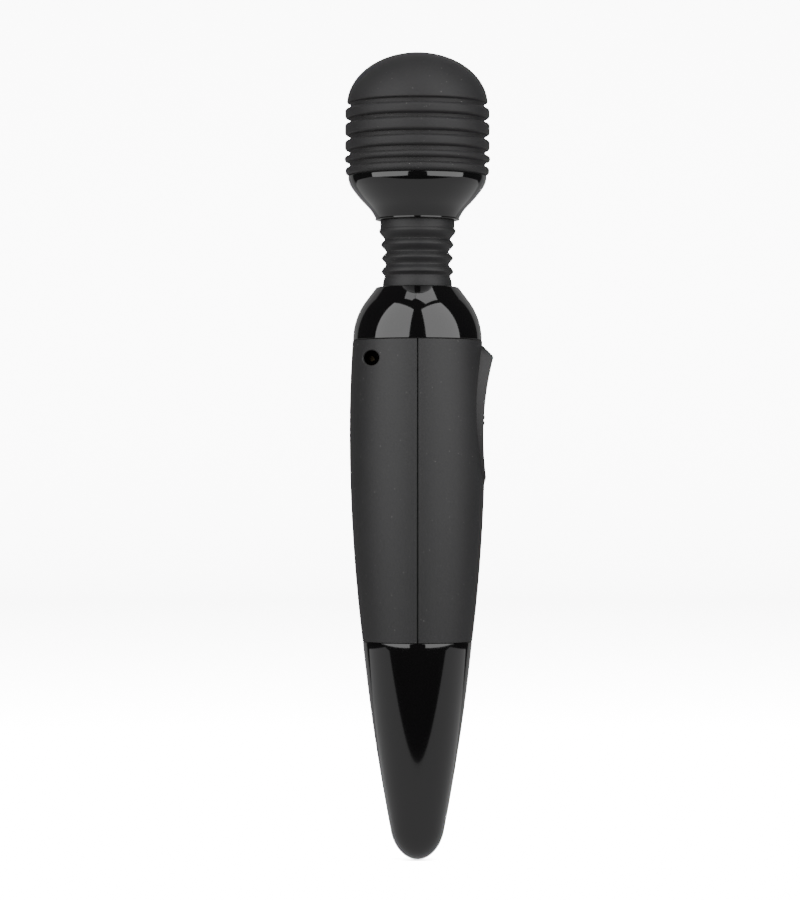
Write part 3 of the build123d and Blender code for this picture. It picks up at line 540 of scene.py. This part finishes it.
def bowedSide(a, b, bow, count):
    # an arc of radius bow that swells outwards between two (radius, height) points
    chord = Vector((b[0] - a[0], b[1] - a[1]))
    rise = bow - sqrt(bow**2 - (chord.length / 2) ** 2)
    outward = Vector((chord.y, -chord.x)).normalized()
    if outward.x < 0:
        outward = -outward
    middle = (Vector(a) + Vector(b)) / 2 + outward * rise
    return arcThrough(a, tuple(middle), b, count)


def ellipseSide(centreHeight, width, height, fromAngle, toAngle, count):
    step = (toAngle - fromAngle) / count
    return [
        (width * cos(radians(fromAngle + step * i)), centreHeight + height * sin(radians(fromAngle + step * i)))
        for i in range(count + 1)
    ]


def turnPiece(name, profile, rounds, steps=180):
    # profile is a closed outline of (radius, height) in mm, rounds gives a corner radius by corner index
    bm = bmesh.new()
    corners = [bm.verts.new((r * mm, 0, z * mm)) for r, z in profile]
    for i, corner in enumerate(corners):
        if not (profile[i][0] < 1e-6 and profile[i - 1][0] < 1e-6):
            bm.edges.new((corners[i - 1], corner))
    byRadius = {}
    for i, radius in rounds.items():
        byRadius.setdefault(radius, []).append(corners[i])
    for radius, group in byRadius.items():
        bmesh.ops.bevel(
            bm, geom=group, offset=radius * mm, offset_type="OFFSET", affect="VERTICES",
            segments=6, profile=0.5, material=-1, clamp_overlap=True,
        )
    bmesh.ops.spin(
        bm, geom=bm.verts[:] + bm.edges[:], cent=(0, 0, 0), axis=(0, 0, 1), dvec=(0, 0, 0),
        angle=2 * pi, steps=steps, use_merge=True,
    )
    bmesh.ops.remove_doubles(bm, verts=bm.verts, dist=2e-7)
    bmesh.ops.dissolve_degenerate(bm, dist=1e-7, edges=bm.edges)
    bmesh.ops.recalc_face_normals(bm, faces=bm.faces)
    return finishMesh(name, bm)


def finishMesh(name, bm, sharpAngle=32):
    for face in bm.faces:
        face.smooth = True
    for edge in bm.edges:
        if len(edge.link_faces) == 2:
            edge.smooth = edge.calc_face_angle(0) < radians(sharpAngle)
    mesh = bpy.data.meshes.new(name)
    bm.to_mesh(mesh)
    bm.free()
    return link(name, mesh)


def dress(piece, slotName, body, *nodes):
    piece.data.materials.clear()
    piece.data.materials.append(finishes[slotName])
    if body:
        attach(piece, body)
    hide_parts(*nodes)


def heights(node):
    low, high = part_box(node)
    return low.z / mm, high.z / mm


# gloss tail cap, a rounded cone
tail = {
    "tipWidth": 10.8, "tipDepth": 14.8, "tipJoint": 11.0,
    "topRadius": 21.4, "bow": 850.0, "wall": 2.4, "rimRound": 0.35, "solidSteps": 3,
}


def buildTailCap(t):
    low, high = heights("tail_cap")
    jointRadius = t["tipWidth"] * sqrt(1 - (1 - t["tipJoint"] / t["tipDepth"]) ** 2)
    jointAngle = degrees(asin((t["tipJoint"] - t["tipDepth"]) / t["tipDepth"]))
    tip = ellipseSide(low + t["tipDepth"], t["tipWidth"], t["tipDepth"], -90, jointAngle, 24)
    side = bowedSide((jointRadius, low + t["tipJoint"]), (t["topRadius"], high), t["bow"], 26)
    inner = [(r - t["wall"], z) for r, z in reversed(side[t["solidSteps"]:])]
    profile = tip[:-1] + side + inner + [(0, inner[-1][1])]
    rim = len(tip) - 1 + len(side) - 1
    piece = turnPiece("tail_cap_gloss", profile, {rim: t["rimRound"]})
    dress(piece, "gloss_black", "handle", "tail_cap")


buildTailCap(tail)
print("tail cap made")


# gloss shoulder that carries the neck
shoulder = {
    "baseRadius": 25.2, "bow": 26.0, "bendRadius": 19.8, "bendDrop": 5.0, "lipRadius": 16.0,
    "wall": 2.4, "innerDrop": 0.96, "hole": 11.7, "baseRound": 0.35, "bendRound": 0.9, "lipRound": 0.45,
}


def buildShoulder(s):
    low, high = heights("shoulder_collar")
    bend = high - s["bendDrop"]
    side = bowedSide((s["baseRadius"], low), (s["bendRadius"], bend), s["bow"], 24)
    inner = [(r - s["wall"], z - s["innerDrop"]) for r, z in reversed(side[2:])]
    profile = side + [(s["lipRadius"], high), (s["hole"], high), (s["hole"], high - s["wall"])] + inner
    profile.append((s["baseRadius"] - s["wall"], low))
    lip = len(side)
    rounds = {0: s["baseRound"], lip - 1: s["bendRound"], lip: s["lipRound"]}
    piece = turnPiece("shoulder_collar_gloss", profile, rounds)
    dress(piece, "gloss_black", "handle", "shoulder_collar")


buildShoulder(shoulder)
print("shoulder made")


# bellows neck, in two halves that meet at the neck's pivot
neck = {
    "bore": 9.8, "sleeveWall": 1.7, "flangeGap": 0.1, "pivotGap": 0.05,
    "profile": (                                   # radius and height above the shoulder, in mm
        (13.55, 0.12), (13.45, 1.9), (13.05, 3.5), (12.85, 4.3), (13.45, 5.1), (14.06, 5.9), (13.6, 7.1),
        (12.75, 8.0), (12.35, 8.75), (12.75, 9.6), (13.5, 10.5), (13.95, 11.3), (13.5, 12.2), (12.65, 13.05),
        (12.2, 13.75), (12.7, 14.6), (13.6, 15.55), (14.2, 16.5), (13.8, 17.5), (13.1, 18.2), (12.85, 18.6),
        (13.3, 19.4), (14.3, 20.5), (14.95, 21.6), (14.85, 22.4), (14.5, 23.1), (14.55, 24.5), (14.5, 25.95),
    ),
}


def smoothLine(points, pieces):
    # passes through every point with rounded bends
    out = []
    last = len(points) - 1
    for i in range(last):
        p0, p1, p2, p3 = (Vector(points[max(0, min(last, j))]) for j in (i - 1, i, i + 1, i + 2))
        for k in range(pieces):
            t = k / pieces
            out.append(tuple(0.5 * (
                2 * p1 + (p2 - p0) * t + (2 * p0 - 5 * p1 + 4 * p2 - p3) * t**2 + (3 * p1 - p0 - 3 * p2 + p3) * t**3
            )))
    out.append(tuple(points[-1]))
    return out


def buildNeck(n):
    low = heights("shoulder_collar")[1]
    pivot = neckPivot / mm
    bottom, top = heights("neck_bellows")
    line = smoothLine([(r, low + h) for r, h in n["profile"]], 5)
    below = [p for p in line if p[1] < pivot - n["pivotGap"]]
    above = [p for p in line if p[1] > pivot + n["pivotGap"]]
    (underR, underZ), (overR, overZ) = below[-1], above[0]
    cut = underR + (overR - underR) * (pivot - underZ) / (overZ - underZ)
    # the sleeve below the shoulder's plate and above the cup's floor holds the bellows in place
    bore, sleeve = n["bore"], n["bore"] + n["sleeveWall"]
    lower = below + [
        (cut, pivot), (bore, pivot), (bore, bottom), (sleeve, bottom), (sleeve, low - n["flangeGap"]),
    ]
    upper = [(bore, pivot), (cut, pivot)] + above + [
        (sleeve, above[-1][1] + n["flangeGap"]), (sleeve, top), (bore, top),
    ]
    return turnPiece("bellows_lower", lower, {}), turnPiece("bellows_upper", upper, {})


lowerBellows, upperBellows = buildNeck(neck)
dress(lowerBellows, "neck_rubber", None, "neck_bellows")
dress(upperBellows, "neck_rubber", None, "neck_bellows")


def bendNeck(lowerPiece, upperPiece):
    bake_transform(lowerPiece)
    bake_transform(upperPiece)


bendNeck(lowerBellows, upperBellows)
print("bellows made")


# copies of CAD shapes, merged so that they shade smoothly
def mergedCopy(name, node, sharpAngle=30, keep=None, dist=2e-6):
    # keep: "below" or "above" the neck's pivot
    bm = bmesh.new()
    bm.from_mesh(frame["nodes"][node].data)
    bmesh.ops.remove_doubles(bm, verts=bm.verts, dist=dist)
    if keep:
        bmesh.ops.bisect_plane(
            bm, geom=bm.verts[:] + bm.edges[:] + bm.faces[:], plane_co=(0, 0, neckPivot), plane_no=(0, 0, 1),
            clear_outer=keep == "below", clear_inner=keep == "above",
        )
        openEdges = [e for e in bm.edges if len(e.link_faces) == 1]
        bmesh.ops.holes_fill(bm, edges=openEdges, sides=0)
    return finishMesh(name, bm, sharpAngle)


for node, slotName in (("neck_spring", "spring_steel"), ("motor_leads_neck", "lead_insulation")):
    halves = [mergedCopy(f"{node}_{part}", node, keep=part) for part in ("below", "above")]
    for half in halves:
        dress(half, slotName, None, node)
    bendNeck(*halves)
print("spring and leads split at the pivot")

for node, slotName, body in (
    ("front_shell", "soft_touch_shell", "handle"),
    ("rear_shell", "soft_touch_shell", "handle"),
    ("rocker", "rocker_plastic", "rocker"),
):
    dress(mergedCopy(f"{node}_skin", node), slotName, body, node)
print("shells and rocker merged")


# gloss cup under the head
cup = {
    "lipRadius": 16.4, "lipHeight": 0.8, "waist": (17.8, 3.3), "flare": (19.6, 5.5), "belly": (21.0, 6.95),
    "swell": (25.6, 12.6), "rimRadius": 27.1,
    "height": 17.2, "wall": 2.4, "hole": 11.7, "floor": 2.6, "rimRound": 0.5,
    "foot": ((16.0, 0.0), (16.45, 0.15), (16.55, 0.4), (16.45, 0.65)),      # small rounded bead at the base
}


def buildCup(c):
    base = heights("head_cup")[0]
    waist, flare, belly, swell = ((r, base + h) for r, h in (c["waist"], c["flare"], c["belly"], c["swell"]))
    concave = arcThrough((c["lipRadius"], base + c["lipHeight"]), waist, flare, 12)
    # a straight flare, then a long curve and a tighter one that follow on from it up to the rim
    lower = tangentArc(belly, Vector(belly) - Vector(flare), swell, 20)
    upper = tangentArc(swell, Vector(lower[-1]) - Vector(lower[-2]), (c["rimRadius"], base + c["height"]), 24)
    foot = [(r, base + h) for r, h in c["foot"]]
    side = foot + concave + [belly] + lower + upper
    inner = [(r - c["wall"], z) for r, z in reversed([flare, belly] + lower + upper[:-2])]
    profile = side + inner + [(c["hole"], base + c["floor"]), (c["hole"], base)]
    piece = turnPiece("head_cup_gloss", profile, {len(side) - 1: c["rimRound"]})
    dress(piece, "gloss_black", "head", "head_cup")


buildCup(cup)
print("cup made")


# ribbed silicone cap
cap = {
    "ribs": (                                      # low edge, high edge, radius, above the cap's lip
        (0.4, 3.4, 28.1), (5.3, 7.8, 28.5), (9.8, 13.9, 28.3), (15.7, 20.6, 28.3), (22.3, 26.4, 28.25),
    ),
    "grooveRadius": (26.5, 26.5, 26.4, 26.3, 26.2), "domeWidth": 27.6, "domeHeight": 20.7, "domeStart": 28.4,
    "innerRadius": 24.9, "thickness": 3.3, "ribRound": 1.2, "grooveRound": 0.8,
    "domeFootRound": 0.6, "domeEdgeRound": 0.95,
}


def buildCap(c):
    lip, top = heights("head_cap")
    centre = top - c["domeHeight"]
    outline, rounds = [(c["innerRadius"], lip)], {}
    for i, (low, high, radius) in enumerate(c["ribs"]):
        bottom, upper = max(lip, lip + low), lip + high
        if i:
            rounds[len(outline)] = c["grooveRound"]
            outline.append((c["grooveRadius"][i - 1], bottom))
        rounds[len(outline)] = c["ribRound"]
        outline.append((radius, bottom))
        rounds[len(outline)] = c["ribRound"]
        outline.append((radius, upper))
        rounds[len(outline)] = c["grooveRound"]
        outline.append((c["grooveRadius"][i], upper))
    domeBase = lip + c["domeStart"]
    startAngle = degrees(asin((domeBase - centre) / c["domeHeight"]))
    rounds[len(outline)] = c["domeFootRound"]
    outline.append((c["grooveRadius"][-1], domeBase))
    rounds[len(outline)] = c["domeEdgeRound"]
    outline += ellipseSide(centre, c["domeWidth"], c["domeHeight"], startAngle, 90, 48)
    outline += ellipseSide(centre, c["innerRadius"], c["domeHeight"] - c["thickness"], 90, 0, 30)
    piece = turnPiece("head_cap_silicone", outline, rounds, steps=200)
    dress(piece, "silicone", "head", "head_cap")


buildCap(cap)
print("cap made")
